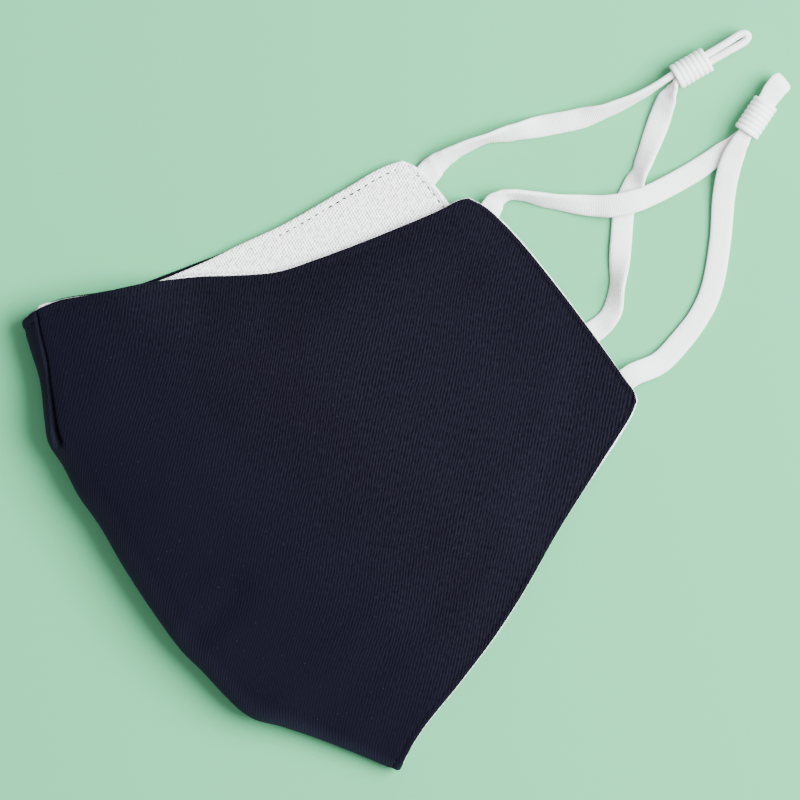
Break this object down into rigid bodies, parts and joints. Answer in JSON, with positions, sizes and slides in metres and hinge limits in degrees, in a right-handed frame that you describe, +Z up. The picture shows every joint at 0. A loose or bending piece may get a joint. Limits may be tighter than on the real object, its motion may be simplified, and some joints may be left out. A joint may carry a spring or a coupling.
{
  "type": "cloth face mask",
  "caption": "Reusable cloth face mask folded flat on its centre line, navy twill outside and white lining, with elastic ear loops and ribbed adjusting sleeves.",
  "frame": {"origin": "on the table under the middle of the folded cloth, without its ear loops and sleeves", "axes": "+Z up from the table; +X from the centre fold towards the ear edge and the loops; +Y from the chin towards the nose"},
  "size_m": [0.1885, 0.1334, 0.013],
  "materials": {
    "navy_twill": "matte twill",
    "white_cotton": "matte plain weave",
    "white_elastic": "soft knit",
    "white_silicone": "satin"
  },
  "bodies": {
    "root": {"outer_shell": "navy_twill", "lining": "white_cotton", "ear_loop_upper": "white_elastic", "ear_loop_lower": "white_elastic", "cord_sleeve_upper": "white_silicone", "cord_sleeve_lower": "white_silicone"}
  },
  "joints": []
}
